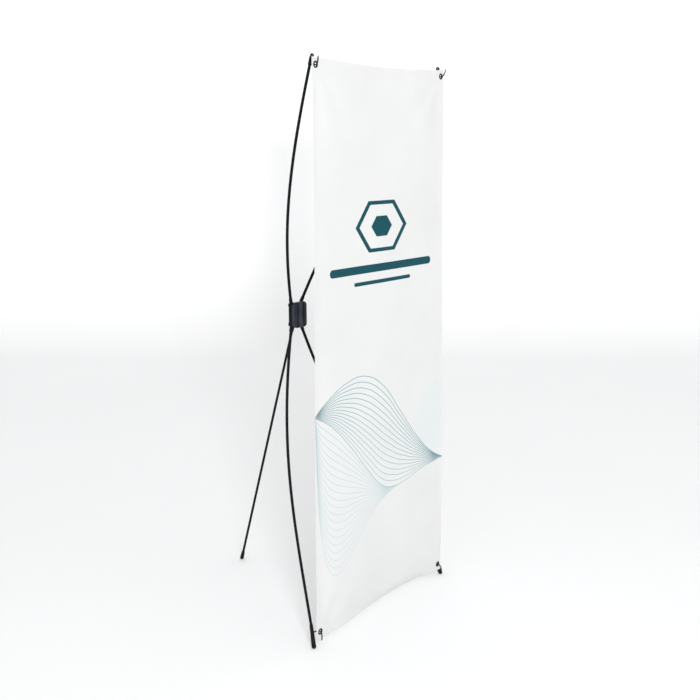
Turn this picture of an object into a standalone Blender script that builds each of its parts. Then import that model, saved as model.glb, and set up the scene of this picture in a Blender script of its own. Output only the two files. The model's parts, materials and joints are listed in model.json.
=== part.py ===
"""X-banner stand: a moulded hub, four bowed rods that pull a printed sheet tight by its corner eyelets, and a straight rear leg.

Metres, +Z up. +X is the viewer's right when looking at the print, the print faces -Y, and the floor is z = 0.
All sizes below are millimetres and are measured from the middle of the sheet's plane (y = 0) on the floor;
P() turns them into world metres and moves the stand so that its bounding box is centred in X and Y.
"""

import math

import bmesh
import bpy
from mathutils import Matrix, Quaternion, Vector

for old in list(bpy.data.objects):
    bpy.data.objects.remove(old, do_unlink=True)

MM = 0.001
DEPTH_CENTRE = 300.252  # middle of the stand's depth, from hook tips to rear foot

# sheet
SHEET_HALF_TOP, SHEET_HALF_BOTTOM = 299.0, 307.0
SHEET_BOTTOM, SHEET_TOP = 21.4, 1621.4
TOP_SAG, BOTTOM_ARCH = 9.3, 7.5
SHEET_THICK = 0.5
EYELET_TOP = (285.0, 1602.0)
EYELET_BOTTOM = (291.5, 43.0)
EYELET_HOLE_R, EYELET_BARREL_R, EYELET_OUTER_R = 4.7, 5.5, 9.0

# hub
HUB = (0.0, 344.0, 878.0)
HUB_HALF_W, HUB_HALF_H = 28.0, 40.0
HUB_FRONT, HUB_REAR = -22.0, 17.5
SLOT = 5.5  # half the gap that the arm lugs turn in
PIVOT_X, PIVOT_Z = 20.0, 30.0
PIN_R = 2.5
GAP = 0.3

# rods: root direction out of the hub, and the last control point before the tip, for the +X side
ROD_R, ROD_ROOT_R = 4.0, 4.6  # the rods thicken towards the hub
UPPER_TIP = (285.0, 15.0, 1616.0)
UPPER_ROOT, UPPER_END = (98.0, -61.0, 256.0), (-109.0, 184.0, -276.0)
LOWER_TIP = (313.0, 5.5, 22.0)
LOWER_ROOT, LOWER_END = (125.0, -59.0, -381.0), (-101.0, 164.0, 291.0)
SOCKET_START, SOCKET_END = 10.0, 24.0
CAP_LENGTH, FOOT_LENGTH = 17.0, 44.0
FOOT_BALL_R, FOOT_BALL_Z = 6.6, 5.9

# rear leg
LEG_PIVOT = (0.0, 353.0, 850.0)
LEG_FOOT = (0.0, 610.5, 5.8)
LEG_R = 4.0
WIRE_R = 2.0
LOWER_PIN_LEAN = 14.5  # degrees: a lower arm's pin is turned this far about its rod, so that its foot swings in and back, clear of the sheet


def P(x, y, z):
    return Vector((x, y - DEPTH_CENTRE, z)) * MM


def local(x, y, z):
    """A point given from the hub's centre."""
    return P(HUB[0] + x, HUB[1] + y, HUB[2] + z)


parts = bpy.data.collections.new("x_banner_stand")
cutters = bpy.data.collections.new("cutters")
bpy.context.scene.collection.children.link(parts)
bpy.context.scene.collection.children.link(cutters)


def material(name, colour, roughness, metallic=0.0):
    made = bpy.data.materials.new(name)
    made.use_nodes = True
    shader = made.node_tree.nodes["Principled BSDF"]
    shader.inputs["Base Color"].default_value = (*colour, 1.0)
    shader.inputs["Roughness"].default_value = roughness
    shader.inputs["Metallic"].default_value = metallic
    made.diffuse_color = (*colour, 1.0)
    return made


HUB_PLASTIC = material("hub_plastic", (0.028, 0.031, 0.036), 0.48)
HUB_INNER = material("hub_inner_plastic", (0.018, 0.019, 0.021), 0.55)
ROD_BLACK = material("rod_black", (0.012, 0.013, 0.015), 0.38)
LUG_BLACK = material("lug_black", (0.016, 0.017, 0.019), 0.5)
RUBBER = material("foot_rubber", (0.014, 0.014, 0.015), 0.62)
STEEL = material("hook_steel", (0.075, 0.077, 0.084), 0.3, 1.0)
PIN_STEEL = material("pin_steel", (0.5, 0.5, 0.52), 0.35, 1.0)
EYELET = material("eyelet_black", (0.02, 0.02, 0.022), 0.32)
PRINT = material("banner_film", (0.86, 0.87, 0.87), 0.5)


def frame(origin, z_axis, x_hint=(1.0, 0.0, 0.0)):
    """A matrix whose Z runs along z_axis, with its X as near x_hint as it can be."""
    z = Vector(z_axis).normalized()
    y = z.cross(Vector(x_hint)).normalized()
    x = y.cross(z)
    made = Matrix((x, y, z)).transposed().to_4x4()
    made.translation = origin
    return made


def add(obj, look=None, parent=None, matrix=None):
    """Puts a visible piece in the stand's collection, on its joint's empty."""
    parts.objects.link(obj)
    if look:
        obj.data.materials.append(look)
    place(obj, matrix or Matrix(), parent)
    return obj


def place(obj, matrix, parent=None):
    if parent:
        obj.parent = parent
        obj.matrix_local = Matrix.Translation(-Vector(parent.location)) @ matrix
    else:
        obj.matrix_world = matrix


def hide(obj, matrix=None):
    """Puts a helper that cuts or joins in the cutters' collection."""
    cutters.objects.link(obj)
    obj.hide_render = True
    obj.display_type = "WIRE"
    if matrix:
        obj.matrix_world = matrix
    return obj


def from_bmesh(name, bm, smooth=True, angle=35.0):
    mesh = bpy.data.meshes.new(name)
    bm.to_mesh(mesh)
    bm.free()
    if smooth:
        mesh.shade_smooth()
        mesh.set_sharp_from_angle(angle=math.radians(angle))
    return bpy.data.objects.new(name, mesh)


def box(name, low, high):
    """A box between two corners, in millimetres in its own frame."""
    bm = bmesh.new()
    bmesh.ops.create_cube(bm, size=1.0)
    size = [(b - a) * MM for a, b in zip(low, high)]
    middle = [(a + b) / 2 * MM for a, b in zip(low, high)]
    bmesh.ops.scale(bm, verts=bm.verts, vec=size)
    bmesh.ops.translate(bm, verts=bm.verts, vec=middle)
    return from_bmesh(name, bm)


def cylinder(name, radius, low, high, sides=24, radius_top=None):
    bm = bmesh.new()
    bmesh.ops.create_cone(
        bm,
        cap_ends=True,
        segments=sides,
        radius1=radius * MM,
        radius2=(radius if radius_top is None else radius_top) * MM,
        depth=(high - low) * MM,
    )
    bmesh.ops.translate(bm, verts=bm.verts, vec=(0, 0, (low + high) / 2 * MM))
    return from_bmesh(name, bm)


def turned(name, profile, steps=20, ring=False):
    """A lathe piece about its own Z. The profile is (radius, height) in millimetres and runs down the outer side."""
    mesh = bpy.data.meshes.new(name)
    count = len(profile)
    edges = [(i, i + 1) for i in range(count - 1)]
    if ring:
        edges.append((count - 1, 0))
    mesh.from_pydata([(r * MM, 0.0, h * MM) for r, h in profile], edges, [])
    obj = bpy.data.objects.new(name, mesh)
    screw = obj.modifiers.new("turn", "SCREW")
    screw.axis = "Z"
    screw.steps = screw.render_steps = steps
    screw.use_merge_vertices = True
    screw.merge_threshold = 0.00001
    screw.use_smooth_shade = True
    return obj


def tube(name, points, radius, resolution=2, tips=None, root=None):
    """A round bar along world points, closed at both ends. tips scales the first and last radius; root is the radius it starts from."""
    curve = bpy.data.curves.new(name, "CURVE")
    curve.dimensions = "3D"
    curve.bevel_depth = radius * MM
    curve.bevel_resolution = resolution
    curve.use_fill_caps = True
    curve.render_resolution_u = 0
    spline = curve.splines.new("POLY")
    spline.points.add(len(points) - 1)
    for i, (point, at) in enumerate(zip(spline.points, points)):
        point.co = (*at, 1.0)
        if root:
            point.radius = 1 + (root / radius - 1) * (1 - i / (len(points) - 1))
    if tips:
        spline.points[0].radius, spline.points[-1].radius = tips
    return bpy.data.objects.new(name, curve)


def solid_tube(name, points, radius, resolution=2):
    """The same bar as a mesh, so that it can be cut or joined."""
    obj = tube(name, points, radius, resolution)
    bpy.context.scene.collection.objects.link(obj)
    graph = bpy.context.evaluated_depsgraph_get()
    mesh = bpy.data.meshes.new_from_object(obj.evaluated_get(graph))
    bpy.data.objects.remove(obj, do_unlink=True)
    bm = bmesh.new()
    bm.from_mesh(mesh)
    bmesh.ops.remove_doubles(bm, verts=bm.verts, dist=1e-6)
    bmesh.ops.recalc_face_normals(bm, faces=bm.faces)
    bm.to_mesh(mesh)
    bm.free()
    mesh.shade_smooth()
    return bpy.data.objects.new(name, mesh)


def boolean(obj, other, operation="DIFFERENCE"):
    made = obj.modifiers.new(other.name, "BOOLEAN")
    made.operation = operation
    made.solver = "EXACT"
    made.object = other
    return obj


def bevel(obj, width, segments=2, angle=30.0):
    made = obj.modifiers.new("edges", "BEVEL")
    made.width = width * MM
    made.segments = segments
    made.limit_method = "ANGLE"
    made.angle_limit = math.radians(angle)
    return obj


def outline(name, loops, half_thickness, matrix):
    """A flat piece: closed loops of (x, y) millimetres, the first the outline and the rest holes."""
    curve = bpy.data.curves.new(name, "CURVE")
    curve.dimensions = "2D"
    curve.fill_mode = "BOTH"
    curve.extrude = half_thickness * MM
    curve.render_resolution_u = 0
    for loop in loops:
        spline = curve.splines.new("POLY")
        spline.points.add(len(loop) - 1)
        for point, (x, y) in zip(spline.points, loop):
            point.co = (x * MM, y * MM, 0.0, 1.0)
        spline.use_cyclic_u = True
    obj = bpy.data.objects.new(name, curve)
    bpy.context.scene.collection.objects.link(obj)
    graph = bpy.context.evaluated_depsgraph_get()
    mesh = bpy.data.meshes.new_from_object(obj.evaluated_get(graph))
    bpy.data.objects.remove(obj, do_unlink=True)
    bm = bmesh.new()
    bm.from_mesh(mesh)
    bmesh.ops.remove_doubles(bm, verts=bm.verts, dist=1e-6)
    bmesh.ops.recalc_face_normals(bm, faces=bm.faces)
    bm.to_mesh(mesh)
    bm.free()
    made = bpy.data.objects.new(name, mesh)
    made.matrix_world = matrix
    return made


def circle(cx, cy, radius, sides=24):
    return [
        (cx + radius * math.cos(2 * math.pi * i / sides), cy + radius * math.sin(2 * math.pi * i / sides))
        for i in range(sides)
    ]


def rounded(half_w, low, high, radius, steps=4):
    """A rectangle's outline with round corners, anticlockwise."""
    points = []
    corners = (
        (half_w - radius, high - radius, 0),
        (-half_w + radius, high - radius, 90),
        (-half_w + radius, low + radius, 180),
        (half_w - radius, low + radius, 270),
    )
    for cx, cy, start in corners:
        for i in range(steps + 1):
            a = math.radians(start + 90 * i / steps)
            points.append((cx + radius * math.cos(a), cy + radius * math.sin(a)))
    return points


def bezier(p0, p1, p2, p3, count):
    for i in range(count + 1):
        t = i / count
        yield p0 * (1 - t) ** 3 + p1 * 3 * t * (1 - t) ** 2 + p2 * 3 * t * t * (1 - t) + p3 * t**3


def empty(name, at):
    made = bpy.data.objects.new(name, None)
    made.empty_display_size = 0.03
    parts.objects.link(made)
    made.location = at
    return made


# A face looking back (+Y) for outlines drawn in X and Z: local x = world X, local y = world Z, local z = world -Y.
UPRIGHT = Matrix(((1, 0, 0, 0), (0, 0, -1, 0), (0, 1, 0, 0), (0, 0, 0, 1)))


def upright(y, about_hub=True):
    at = local(0, y, 0) if about_hub else P(0, y, 0)
    return Matrix.Translation(at) @ UPRIGHT


# ---------------------------------------------------------------- hub
# Front cover: a rounded tray with a raised middle panel between two upright grooves, hollow from behind.
front_depth = -8.8 - HUB_FRONT
front_cover = outline(
    "hub_front_cover",
    [rounded(HUB_HALF_W, -HUB_HALF_H, HUB_HALF_H, 12.0)],
    front_depth / 2,
    upright((HUB_FRONT - 8.8) / 2),
)
parts.objects.link(front_cover)
front_cover.data.materials.append(HUB_PLASTIC)
bevel(front_cover, 2.4, 2)
hollow = hide(outline("cover_hollow", [rounded(25.2, -33.5, 33.5, 8.0)], 5.6, upright(-13.4)))
boolean(front_cover, hollow)
for side in (-1, 1):
    groove = box(f"cover_groove_{side}", (-1.8, -60, -2.4), (1.8, 60, 2.0))
    hide(groove, Matrix.Translation(local(side * 13.0, HUB_FRONT - 0.4, 0)) @ UPRIGHT)
    boolean(front_cover, groove)
boss_heights = (23.0, 5.0, -12.0)
for i, height in enumerate(boss_heights):
    boss = cylinder(f"cover_boss_{i}", 3.6, -19.4, -8.8, 20)
    hide(boss, frame(local(0, 0, height), (0, 1, 0)))
    boolean(front_cover, boss, "UNION")

# Front plate: carries the front ends of the four pivot pins.
front_plate = outline(
    "hub_front_plate", [rounded(24.6, -34.5, 34.5, 4.5)], 1.35, upright(-7.0)
)
parts.objects.link(front_plate)
front_plate.data.materials.append(HUB_INNER)

# Spacer: the block between the plates that keeps the slot open for the lugs.
spacer = box("hub_spacer", (-9.5, -5.2, -17.0), (9.5, 5.2, 37.0))
add(spacer, HUB_INNER, None, Matrix.Translation(local(0, 0, 0)))
bevel(spacer, 1.0, 1)

# Rear body: a narrow spine that the folded arms pass beside, with two rounded ears above and two below for the pins.
rear = outline("hub_rear_body", [rounded(14.6, -38.5, 33.0, 5.0)], (HUB_REAR - SLOT) / 2, upright((HUB_REAR + SLOT) / 2))
parts.objects.link(rear)
rear.data.materials.append(HUB_PLASTIC)
bevel(rear, 1.8, 2)
top_ears = bevel(outline("rear_top_ears", [rounded(24.5, 24.5, 36.0, 5.2)], 2.15, upright(SLOT + 2.15)), 0.8, 1)
hide(top_ears)
boolean(rear, top_ears, "UNION")
low_ears = bevel(box("rear_low_ears", (-26.0, SLOT, -35.5), (26.0, 8.7, -24.5)), 1.0, 1)
hide(low_ears, Matrix.Translation(local(0, 0, 0)))
boolean(rear, low_ears, "UNION")
leg_slot = box("rear_leg_slot", (-6.0, SLOT - 2, -42.0), (6.0, HUB_REAR + 2, -19.5))
hide(leg_slot, Matrix.Translation(local(0, 0, 0)))
boolean(rear, leg_slot)
for side in (-1, 1):
    rib = box(f"rear_groove_{side}", (-1.2, HUB_REAR - 1.2, -60), (1.2, HUB_REAR + 2, 60))
    hide(rib, Matrix.Translation(local(side * 9.5, 0, 0)))
    boolean(rear, rib)

# Screws: three along the middle, heads sunk in the rear body, tips in the front cover's bosses.
for i, (height, label) in enumerate(zip(boss_heights, ("top", "middle", "bottom"))):
    at = frame(local(0, 0, height), (0, 1, 0))
    screw = turned(
        f"hub_screw_{label}",
        [(0, 15.2), (2.4, 15.2), (2.9, 14.6), (2.9, 13.2), (1.5, 13.2), (1.5, -16.4), (0.9, -17.2), (0, -17.2)],
        16,
    )
    add(screw, PIN_STEEL, None, at)
    recess = hide(box(f"screw_slot_{i}", (-0.45, -3.2, 14.2), (0.45, 3.2, 16.5)), at)
    boolean(screw, recess)
    bore = turned(f"screw_bore_{i}", [(0, 20.0), (3.3, 20.0), (3.3, 12.8), (1.85, 12.8), (1.85, -17.6), (0, -17.6)], 16)
    hide(bore, at)
    for piece in (front_cover, front_plate, spacer, rear):
        boolean(piece, bore)

# ---------------------------------------------------------------- rear leg
leg_hinge = empty("axis_rear_leg", P(*LEG_PIVOT))
leg_line = P(*LEG_FOOT) - P(*LEG_PIVOT)
leg_length = leg_line.length / MM
leg_frame = frame(P(*LEG_PIVOT), leg_line)
across = frame(P(*LEG_PIVOT), (1, 0, 0), (0, 1, 0))

leg_pin_bore = hide(cylinder("leg_pin_bore", PIN_R + GAP, -12.3, 12.3), across)
boolean(rear, leg_pin_bore)
add(bevel(cylinder("rear_leg_pin", PIN_R, -12.0, 12.0), 0.4, 1), PIN_STEEL, None, across)

leg_lug = bevel(cylinder("rear_leg_lug", 6.0, -4.8, 4.8, 28), 0.7, 1)
add(leg_lug, LUG_BLACK, leg_hinge, across)
stem = bevel(cylinder("leg_lug_stem", 5.3, 1.0, 30.0, 20, 5.1), 0.6, 1)
boolean(leg_lug, hide(stem, leg_frame), "UNION")
boolean(leg_lug, hide(cylinder("leg_lug_bore", PIN_R + 0.25, -9.0, 9.0), across))
boolean(leg_lug, hide(cylinder("leg_lug_socket", LEG_R + GAP, 9.0, 40.0, 20), leg_frame))

leg_rod = bevel(cylinder("rear_leg_rod", LEG_R, 9.3, leg_length - 10.0, 16), 0.3, 1)
add(leg_rod, ROD_BLACK, leg_hinge, leg_frame)

ball = 6.4
foot_profile = [(0, -9.7), (LEG_R + GAP, -9.7), (LEG_R + GAP, -24.0), (4.8, -24.0), (5.3, -22.6), (5.7, -14.0), (6.3, -3.0)]
foot_profile += [(ball * math.cos(a), ball * math.sin(a)) for a in (math.radians(d) for d in (0, 18, 36, 54, 72))]
foot_profile += [(0, ball)]
rear_foot = turned("rear_leg_foot", foot_profile, 20)
add(rear_foot, RUBBER, leg_hinge, frame(P(*LEG_FOOT), leg_line))
floor_block = hide(box("floor_cut", (-700, -700, -60), (700, 700, 0)), Matrix())
boolean(rear_foot, floor_block)

# ---------------------------------------------------------------- arms
for side, hand in ((-1, "left"), (1, "right")):

    def S(v):
        return Vector((v[0] * side, v[1], v[2]))

    for tier in ("upper", "lower"):
        up = tier == "upper"
        label = f"{tier}_{hand}"
        pivot = local(side * PIVOT_X, 0, PIVOT_Z if up else -PIVOT_Z)
        hinge = empty(f"axis_arm_{label}", pivot)
        root = S(UPPER_ROOT if up else LOWER_ROOT)
        direction = root.normalized()
        # The pin stands square to the rod's root and lies in the plane x = const.
        axis = Vector((0, direction.z, -direction.y)).normalized()
        if axis.y < 0:
            axis = -axis
        if not up:
            axis.rotate(Quaternion(direction, math.radians(side * LOWER_PIN_LEAN)))
        along = frame(pivot, direction, axis)
        pin_frame = frame(pivot, axis)

        tip = S(UPPER_TIP if up else LOWER_TIP)
        end = S(UPPER_END if up else LOWER_END)
        start = pivot + direction * SOCKET_END * MM
        curve = list(bezier(start, pivot + root * MM, P(*(tip + end)), P(*tip), 26))
        sleeve = CAP_LENGTH if up else FOOT_LENGTH
        # The rod is straight inside its cap or foot, so that both share one line.
        keep = [p for p in curve if (p - curve[-1]).length > sleeve * MM]
        mouth = P(*tip) + (P(*(tip + end)) - P(*tip)).normalized() * sleeve * MM
        if up:
            last = P(*tip)
        else:
            last = P(tip.x + side * 1.5, tip.y - 1.5, FOOT_BALL_Z)
        line = (last - mouth).normalized()
        inside = mouth + line * (14.0 if up else 15.5) * MM
        points = [pivot + direction * (SOCKET_START + GAP) * MM, *keep, mouth, inside]
        add(tube(f"rod_{label}", [p - pivot for p in points], ROD_R, root=ROD_ROOT_R), ROD_BLACK, hinge, Matrix.Translation(pivot))

        # Lug: a flat eye on the pin, a neck, and a round socket that holds the rod.
        lug = bevel(cylinder(f"lug_{label}", 7.5, -3.5, 3.5, 28), 0.7, 1)
        add(lug, LUG_BLACK, hinge, pin_frame)
        neck = bevel(box(f"neck_{label}", (-3.5, -4.5, 0.0), (3.5, 4.5, 12.0)), 0.5, 1)
        boolean(lug, hide(neck, along), "UNION")
        socket = bevel(cylinder(f"socket_{label}", 5.7, 9.0, SOCKET_END, 20, 5.5), 0.6, 1)
        boolean(lug, hide(socket, along), "UNION")
        boolean(lug, hide(cylinder(f"lug_bore_{label}", PIN_R + 0.25, -9.0, 9.0), pin_frame))
        boolean(lug, hide(cylinder(f"rod_bore_{label}", ROD_ROOT_R + GAP, SOCKET_START, SOCKET_END + 6, 20), along))

        # Pivot pin, from the front plate through the lug into the rear body.
        back = 8.4 if up else 8.2
        pin = bevel(cylinder(f"pivot_pin_{label}", PIN_R, -8.0, back), 0.4, 1)
        add(pin, PIN_STEEL, None, pin_frame)
        pin_bore = hide(cylinder(f"pin_bore_{label}", PIN_R + GAP, -12.0, back + (0.3 if up else 4.0)), pin_frame)
        boolean(front_plate, pin_bore)
        boolean(rear, pin_bore)

        eye_x, eye_z = EYELET_TOP if up else EYELET_BOTTOM
        eye = Vector((side * eye_x, 0, eye_z))
        if up:
            cap_frame = frame(P(*tip), line)
            cap = turned(
                f"tip_cap_{label}",
                [
                    (0, 9.5), (2.4, 9.5), (4.2, 8.3), (5.2, 5.4), (5.3, -CAP_LENGTH + 1.2), (4.9, -CAP_LENGTH),
                    (ROD_R + GAP, -CAP_LENGTH), (ROD_R + GAP, -CAP_LENGTH + 14.3), (0, -CAP_LENGTH + 14.3),
                ],
                20,
            )
            add(cap, RUBBER, hinge, cap_frame)
            # The crook at the cap's top curls forward and down.
            crook = [tip + Vector((0, 1.0, 1.0))]
            crook += [
                tip + Vector((0, -3.9 + 4.1 * math.cos(a), 8.2 + 4.1 * math.sin(a)))
                for a in (math.radians(d) for d in range(0, 222, 20))
            ]
            crook_solid = solid_tube(f"crook_{label}", [P(*p) for p in crook], 2.2)
            boolean(cap, hide(crook_solid), "UNION")
            holder, base = cap, tip + line * 2.4
            route = [
                base, eye + Vector((side * -0.2, 8.4, 13.0)), eye + Vector((side * -0.3, 6.6, 8.6)), eye + Vector((side * -0.2, 5.4, 3.4)),
                eye + Vector((0, 3.2, 0.1)), eye + Vector((side * 0.3, -1.6, -0.7)),
                eye + Vector((side * 1.2, -6.2, 0.8)), eye + Vector((side * 2.4, -9.8, 4.6)),
                eye + Vector((side * 3.6, -12.2, 10.0)), eye + Vector((side * 5.4, -14.8, 20.5)),
            ]
        else:
            reach = (last - mouth).length / MM
            profile = [(0, reach - 15.8), (ROD_R + GAP, reach - 15.8), (ROD_R + GAP, reach), (4.8, reach), (5.1, reach - 1.0)]
            profile += [(5.5, reach * 0.55), (6.3, 8.0)]
            profile += [(FOOT_BALL_R * math.cos(a), -FOOT_BALL_R * math.sin(a)) for a in (math.radians(d) for d in (0, 18, 36, 54, 72))]
            profile += [(0, -FOOT_BALL_R)]
            foot = turned(f"foot_{hand}", profile, 20)
            add(foot, RUBBER, hinge, frame(last, -line))
            boolean(foot, floor_block)
            holder = foot
            base = (mouth + line * 21.0 * MM) / MM + Vector((0, DEPTH_CENTRE, 0))
            route = [
                base, eye + Vector((side * 5.0, 6.0, 0.8)), eye + Vector((side * 1.0, 2.6, 0.4)), eye + Vector((side * 0.2, -2.0, 0.2)),
                eye + Vector((side * 1.4, -6.0, -1.6)), eye + Vector((side * 3.2, -9.0, -5.6)),
                eye + Vector((side * 5.0, -10.8, -11.0)), eye + Vector((side * 7.2, -12.0, -21.0)),
            ]
        # Hook: a bent wire from the cap or foot, through the eyelet from behind, and out to a free tip.
        path = [P(*p) for p in route]
        toward = (path[1] - path[0]).normalized()
        path[0] = path[0] + toward * 2.2 * MM
        add(tube(f"hook_{label}", [p - pivot for p in path], WIRE_R, 2, (1.0, 0.85)), STEEL, hinge, Matrix.Translation(pivot))
        hook_bore = cylinder(f"hook_bore_{label}", WIRE_R + GAP, 1.8, 12.0, 16)
        boolean(holder, hide(hook_bore, frame(P(*route[0]), toward)))

        # Eyelet: a front flange with a barrel through the sheet, and a washer behind.
        eye_frame = frame(P(*eye), (0, -1, 0), (1, 0, 0))
        flange = [
            (EYELET_BARREL_R - 0.1, 1.55), (6.9, 1.75), (8.5, 1.35), (EYELET_OUTER_R, 0.75), (EYELET_OUTER_R, 0.55), (EYELET_BARREL_R, 0.55),
            (EYELET_BARREL_R, -1.5), (EYELET_HOLE_R, -1.5), (EYELET_HOLE_R, 1.1),
        ]
        add(turned(f"eyelet_front_{label}", flange, 28, True), EYELET, None, eye_frame)
        washer = [(6.6, -0.55), (8.6, -0.55), (EYELET_OUTER_R, -0.8), (EYELET_OUTER_R, -1.2), (8.3, -1.5), (EYELET_BARREL_R + GAP, -1.5), (EYELET_BARREL_R + GAP, -0.55)]
        add(turned(f"eyelet_back_{label}", washer, 28, True), EYELET, None, eye_frame)

# ---------------------------------------------------------------- sheet
edge = []
STEPS = 14
for i in range(STEPS + 1):
    u = 1 - 2 * i / STEPS
    edge.append((u * SHEET_HALF_TOP, SHEET_TOP - TOP_SAG * (1 - u * u)))
for i in range(STEPS + 1):
    u = -1 + 2 * i / STEPS
    edge.append((u * SHEET_HALF_BOTTOM, SHEET_BOTTOM + BOTTOM_ARCH * (1 - u * u)))
holes = [
    circle(side * x, z, EYELET_BARREL_R + GAP)
    for side in (-1, 1)
    for x, z in (EYELET_TOP, EYELET_BOTTOM)
]
sheet = outline("banner_sheet", [edge, *holes], SHEET_THICK / 2, Matrix.Translation(P(0, 0, 0)) @ UPRIGHT)
parts.objects.link(sheet)
sheet.data.materials.append(PRINT)

bpy.context.view_layer.update()
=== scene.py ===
"""Looks for the X-banner stand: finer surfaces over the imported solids, their materials, a studio floor, lights and the camera.

Millimetres below are measured as in the stand's own design: from the middle of the sheet's plane (y = 0) on the floor,
+X to the viewer's right, the print facing -Y. P() turns them into world metres.
"""

import json
import math

import bmesh
import bpy
from mathutils import Matrix, Quaternion, Vector

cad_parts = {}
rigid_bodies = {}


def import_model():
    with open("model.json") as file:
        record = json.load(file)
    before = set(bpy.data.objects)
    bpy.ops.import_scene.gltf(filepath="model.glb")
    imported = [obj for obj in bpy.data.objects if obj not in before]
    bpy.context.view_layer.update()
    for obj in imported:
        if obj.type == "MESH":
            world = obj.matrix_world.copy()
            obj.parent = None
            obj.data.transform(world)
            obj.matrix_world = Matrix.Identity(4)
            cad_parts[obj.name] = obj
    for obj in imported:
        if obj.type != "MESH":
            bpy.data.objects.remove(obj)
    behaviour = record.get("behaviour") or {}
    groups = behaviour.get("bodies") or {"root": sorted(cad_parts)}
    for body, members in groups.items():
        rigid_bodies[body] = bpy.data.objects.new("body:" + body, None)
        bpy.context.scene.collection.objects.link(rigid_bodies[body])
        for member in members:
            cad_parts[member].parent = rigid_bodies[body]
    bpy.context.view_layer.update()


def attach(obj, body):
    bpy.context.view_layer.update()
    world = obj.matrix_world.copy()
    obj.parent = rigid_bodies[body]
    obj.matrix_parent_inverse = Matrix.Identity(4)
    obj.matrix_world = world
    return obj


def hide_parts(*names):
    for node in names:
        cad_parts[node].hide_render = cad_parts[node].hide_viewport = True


for old in list(bpy.data.objects):
    bpy.data.objects.remove(old, do_unlink=True)

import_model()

MM = 0.001
DEPTH_CENTRE = 300.252
SHEET_HALF_TOP, SHEET_HALF_BOTTOM = 299.0, 307.0
SHEET_BOTTOM, SHEET_TOP = 21.4, 1621.4
TOP_SAG, BOTTOM_ARCH = 9.3, 7.5
SHEET_THICK = 0.5
EYELET_TOP = (285.0, 1602.0)
EYELET_BOTTOM = (291.5, 43.0)
HUB = (0.0, 344.0, 878.0)
HUB_HALF_W, HUB_HALF_H = 28.0, 40.0
HUB_FRONT, HUB_REAR = -22.0, 17.5
SLOT = 5.5
PIVOT_X, PIVOT_Z = 20.0, 30.0
PIN_R = 2.5
GAP = 0.3
ROD_R, ROD_ROOT_R = 4.0, 4.6
UPPER_TIP = (285.0, 15.0, 1616.0)
UPPER_ROOT, UPPER_END = (98.0, -61.0, 256.0), (-109.0, 184.0, -276.0)
LOWER_TIP = (313.0, 5.5, 22.0)
LOWER_ROOT, LOWER_END = (125.0, -59.0, -381.0), (-101.0, 164.0, 291.0)
SOCKET_START, SOCKET_END = 10.0, 24.0
CAP_LENGTH, FOOT_LENGTH = 17.0, 44.0
FOOT_BALL_R, FOOT_BALL_Z = 6.6, 5.9
LEG_PIVOT = (0.0, 353.0, 850.0)
LEG_FOOT = (0.0, 610.5, 5.8)
LEG_R = 4.0
WIRE_R = 2.0
LOWER_PIN_LEAN = 14.5


def P(x, y, z):
    return Vector((x, y - DEPTH_CENTRE, z)) * MM


def local(x, y, z):
    return P(HUB[0] + x, HUB[1] + y, HUB[2] + z)


helpers = bpy.data.collections.new("helpers")
bpy.context.scene.collection.children.link(helpers)
shown = bpy.data.collections.new("x_banner_stand_surfaces")
bpy.context.scene.collection.children.link(shown)


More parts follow.
